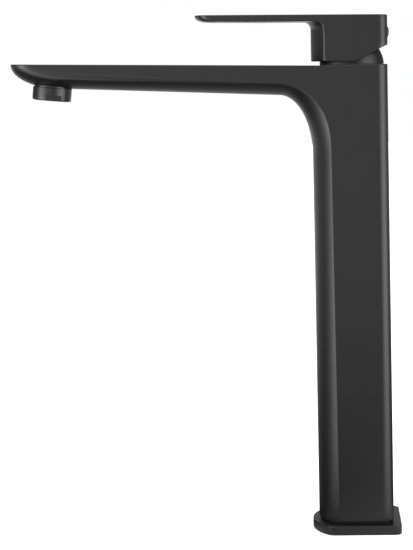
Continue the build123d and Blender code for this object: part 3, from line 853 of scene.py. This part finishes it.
def powder_coat(name, grey, roughness):
    """Fine satin powder coat: two sizes of grain in the bump, and slightly uneven gloss."""
    finish = Finish(name, IOR=1.5)
    fine = finish.noise(4200, 2.0, 0.6)
    broad = finish.noise(900, 1.0, 0.5)
    mottle = finish.noise(55, 3.0, 0.55)
    finish.bump(fine * 0.6 + broad * 0.4, 0.012 * MM, 0.35)
    finish.set("Roughness", (mottle - 0.5) * 0.05 + (fine - 0.5) * 0.04 + roughness)
    dark = (grey * 0.88, grey * 0.88, grey * 0.9, 1)
    light = (grey * 1.14, grey * 1.14, grey * 1.16, 1)
    finish.set("Base Color", finish.blend_colours(mottle, dark, light))
    return finish.material


def gloss_coat(name, grey, roughness):
    """Smoother black plating, with faint turning marks of uneven gloss."""
    finish = Finish(name, IOR=1.52)
    fine = finish.noise(2600, 2.0, 0.5)
    mottle = finish.noise(120, 3.0, 0.55)
    finish.bump(fine, 0.006 * MM, 0.3)
    finish.set("Roughness", (mottle - 0.5) * 0.08 + roughness)
    dark = (grey * 0.85, grey * 0.85, grey * 0.87, 1)
    light = (grey * 1.15, grey * 1.15, grey * 1.17, 1)
    finish.set("Base Color", finish.blend_colours(mottle, dark, light))
    return finish.material


def plain_finish(name, dark, light, roughness, grain, depth, metal=0.0, spread=0.06, ior=1.5):
    """Moulded, turned or ground finish: two tones by a slow noise, uneven gloss, fine grain."""
    finish = Finish(name, Metallic=metal, IOR=ior)
    fine = finish.noise(grain, 3.0, 0.6)
    slow = finish.noise(grain / 18, 2.0, 0.5)
    finish.bump(fine, depth, 0.4)
    finish.set("Roughness", (fine - 0.5) * spread + (slow - 0.5) * spread + roughness)
    finish.set("Base Color", finish.blend_colours(slow, (*dark, 1), (*light, 1)))
    return finish.material


def plug_finish(name):
    """Smooth black dome with a satin rim painted light grey as a painted highlight, told apart by the distance
    from its axis.
    """
    finish = Finish(name, IOR=1.5)
    centre = (0, 0, (plug_low.z + plug_high.z) / 2)
    moved = finish.add("ShaderNodeMapping", {"vector_type": "TEXTURE"}, {0: finish.place(), 1: centre})
    split = finish.add("ShaderNodeSeparateXYZ", None, {0: moved})
    across = split
    upward = Value(finish, split.socket.node.outputs[2])
    flat = finish.add("ShaderNodeCombineXYZ", None, {0: across, 2: upward})
    away = finish.add("ShaderNodeVectorMath", {"operation": "LENGTH"}, {0: flat}, output=1)
    rim = finish.add(
        "ShaderNodeMapRange",
        {"interpolation_type": "SMOOTHSTEP"},
        {0: away, 1: plug_radius - rim_width - 0.1 * MM, 2: plug_radius - rim_width + 0.1 * MM},
    )
    fine = finish.noise(3000, 2.0, 0.5)
    finish.bump(fine, 0.006 * MM, 0.3)
    finish.set("Roughness", rim * 0.08 + (fine - 0.5) * 0.05 + 0.24)
    # The light grey on the rim is a painted highlight, not a colour of the plug.
    black, grey = (0.012, 0.012, 0.0125, 1), (0.16, 0.16, 0.165, 1)
    finish.set("Base Color", finish.blend_colours(rim, black, grey))
    return finish.material


coat = powder_coat("satin_black_coat", 0.005, 0.38)
gloss = gloss_coat("gloss_black_coat", 0.006, 0.36)
rubber = plain_finish("black_rubber", (0.006,) * 3, (0.011,) * 3, 0.75, 900, 0.03 * MM)
nylon = plain_finish("black_nylon", (0.028,) * 3, (0.04,) * 3, 0.5, 1200, 0.02 * MM)
red_plastic = plain_finish(
    "red_plastic", (0.26, 0.03, 0.025), (0.36, 0.05, 0.04), 0.42, 1200, 0.02 * MM
)
grey_plastic = plain_finish("grey_plastic", (0.04,) * 3, (0.06,) * 3, 0.45, 1500, 0.015 * MM)
brass = plain_finish(
    "turned_brass", (0.66, 0.48, 0.22), (0.78, 0.6, 0.32), 0.28, 1600, 0.008 * MM, metal=1.0
)
ceramic = plain_finish("lapped_ceramic", (0.80, 0.79, 0.75), (0.87, 0.86, 0.82), 0.16, 700, 0.002 * MM)
steel = plain_finish("plain_steel", (0.50,) * 3, (0.62,) * 3, 0.3, 2200, 0.006 * MM, metal=1.0)

for piece in (body, lever, dome, plate):
    piece.data.materials.clear()
    piece.data.materials.append(coat)
for piece, finish in ((housing, gloss), (plug, plug_finish("plug_black"))):
    piece.data.materials.clear()
    piece.data.materials.append(finish)

slot_finish = {
    "black_coat": coat,
    "black_gloss": gloss,
    "black_plastic": gloss,
    "rubber": rubber,
    "nylon": nylon,
    "limit_plastic": red_plastic,
    "grey_plastic": grey_plastic,
    "brass": brass,
    "ceramic": ceramic,
    "steel": steel,
}
for entry in frame["record"]["subparts"]:
    node = nodes[entry["node"]]
    for place in node.material_slots:
        place.material = slot_finish[entry["material_slot"]]

# ---------------------------------------------------------------- camera
view_yaw = radians(3.459)
view_pitch = radians(6.245)
view_roll = radians(1.404)
view_distance = 1.2274
view_target = Vector((0, -0.0953, 0.16502))

forward = Vector((-cos(view_yaw), -sin(view_yaw), 0))
right = Vector((-sin(view_yaw), cos(view_yaw), 0))
upright = Vector((0, 0, 1))
forward, upright = (
    forward * cos(view_pitch) - upright * sin(view_pitch),
    upright * cos(view_pitch) + forward * sin(view_pitch),
)
right, upright = (
    right * cos(view_roll) - upright * sin(view_roll),
    upright * cos(view_roll) + right * sin(view_roll),
)
camera_data = bpy.data.cameras.new("camera")
camera_data.lens = 124.82
camera_data.sensor_width = 36
camera_data.clip_start = 0.05
camera = bpy.data.objects.new("camera", camera_data)
turned_to = Matrix((right, upright, -forward)).transposed().to_4x4()
camera.matrix_world = Matrix.Translation(view_target - forward * view_distance) @ turned_to
bpy.context.scene.collection.objects.link(camera)
bpy.context.scene.camera = camera

# ---------------------------------------------------------------- floor and light
floor_mesh = bpy.data.meshes.new("floor")
reach = 6.0
corners = [(-reach, -reach, 0), (reach, -reach, 0), (reach, reach, 0), (-reach, reach, 0)]
floor_mesh.from_pydata([(x, y, -0.0003) for x, y, z in corners], [], [(0, 1, 2, 3)])
floor = bpy.data.objects.new("floor", floor_mesh)
bpy.context.scene.collection.objects.link(floor)
floor.visible_glossy = False
floor.visible_diffuse = False
floor_finish = Finish("pale_floor", Roughness=0.9, Specular_IOR_Level=0.1)
floor_finish.shader.inputs["Emission Color"].default_value = (1, 1, 1, 1)
floor_finish.shader.inputs["Emission Strength"].default_value = 0.55
floor_grain = floor_finish.noise(3, 2.0, 0.5)
floor_finish.set(
    "Base Color", floor_finish.blend_colours(floor_grain, (0.9, 0.9, 0.9, 1), (0.93, 0.93, 0.93, 1))
)
floor_mesh.materials.append(floor_finish.material)

# Even light of the room, and how much of all light comes from above and below the horizon.
room_light = 0.16
upper_share = 0.6
lower_share = 1.35
# Centre, half width and level of each soft box, by bearing.
soft_boxes = [
    (radians(24), radians(60), 1.16),
    (radians(62), radians(28), 6.6),
    (radians(-62), radians(48), 4.6),
    (radians(180), radians(52), 0.5),
    (radians(-180), radians(52), 0.5),
]

# A sheet that only reflections see: dim near the object and brighter away from it.
glow_mesh = bpy.data.meshes.new("glow")
glow_mesh.from_pydata([(x, y, -0.0002) for x, y, z in corners], [], [(0, 1, 2, 3)])
glow = bpy.data.objects.new("glow", glow_mesh)
bpy.context.scene.collection.objects.link(glow)
glow.visible_camera = False
glow.visible_diffuse = False
glow.visible_shadow = False
glow_finish = Finish("floor_glow", Base_Color=(0, 0, 0, 1), Roughness=1.0, Specular_IOR_Level=0.0)
middle = {0: glow_finish.place(), 1: (0, 0.07, 0)}
spot = glow_finish.add("ShaderNodeVectorMath", {"operation": "ADD"}, middle)
away = glow_finish.add("ShaderNodeVectorMath", {"operation": "LENGTH"}, {0: spot}, output=1)
rise = glow_finish.add("ShaderNodeMath", {"operation": "POWER"}, {0: away, 1: 0.75})
rise = glow_finish.add("ShaderNodeMath", {"operation": "MINIMUM"}, {0: rise * 0.8, 1: 1.0})
spread = glow_finish.add("ShaderNodeSeparateXYZ", None, {0: spot})
behind = glow_finish.add(
    "ShaderNodeMapRange",
    {"interpolation_type": "SMOOTHSTEP"},
    {0: spread, 1: -0.2, 2: -1.8, 3: 0.0, 4: 0.7},
)
glow_level = glow_finish.banded(spot) * rise * lower_share + behind
grey_level = glow_finish.add(
    "ShaderNodeCombineXYZ", None, {0: glow_level, 1: glow_level, 2: glow_level}
)
glow_finish.set("Emission Color", grey_level)
glow_finish.shader.inputs["Emission Strength"].default_value = 1.0
glow_mesh.materials.append(glow_finish.material)

world = bpy.data.worlds.new("studio")
world.use_nodes = True
bpy.context.scene.world = world


class Backdrop(Finish):
    """The studio round the object: white where it is looked at, and banded where it lights."""

    def __init__(self, world):
        self.tree = world.node_tree
        self.shader = self.tree.nodes["Background"]

studio = Backdrop(world)
aim = studio.add("ShaderNodeTexCoord", output="Generated")
along = studio.add("ShaderNodeSeparateXYZ", None, {0: aim})
lift = Value(studio, along.socket.node.outputs[2])
ground = studio.add(
    "ShaderNodeMapRange",
    {"interpolation_type": "SMOOTHSTEP"},
    {0: lift, 1: -0.45, 2: -0.02, 3: 0.12, 4: 1.0},
)
sky = studio.add(
    "ShaderNodeMapRange",
    {"interpolation_type": "SMOOTHSTEP"},
    {0: lift, 1: 0.25, 2: 0.9, 3: 0.0, 4: 0.3},
)
shone = studio.banded(aim) * ground * upper_share + sky
seen = studio.add("ShaderNodeLightPath")
strength = seen * 1.0 + (1.0 - seen) * shone
studio.set("Color", (1, 1, 1, 1))
studio.set("Strength", strength)


def soft_light(name, turn, lift, distance, width, height, power):
    """Area light aimed at the object, placed by its bearing from the camera side and its lift."""
    data = bpy.data.lights.new(name, "AREA")
    data.shape = "RECTANGLE"
    data.size = width
    data.size_y = height
    data.energy = power
    light = bpy.data.objects.new(name, data)
    aim = Vector((0, -0.06, 0.18))
    away = Vector((cos(turn) * cos(lift), -sin(turn) * cos(lift), sin(lift)))
    light.location = aim + away * distance
    light.rotation_euler = away.to_track_quat("Z", "Y").to_euler()
    bpy.context.scene.collection.objects.link(light)


soft_light("top_box", radians(20), radians(70), 1.8, 1.2, 1.2, 4.5)

bpy.context.scene.view_settings.view_transform = "Standard"
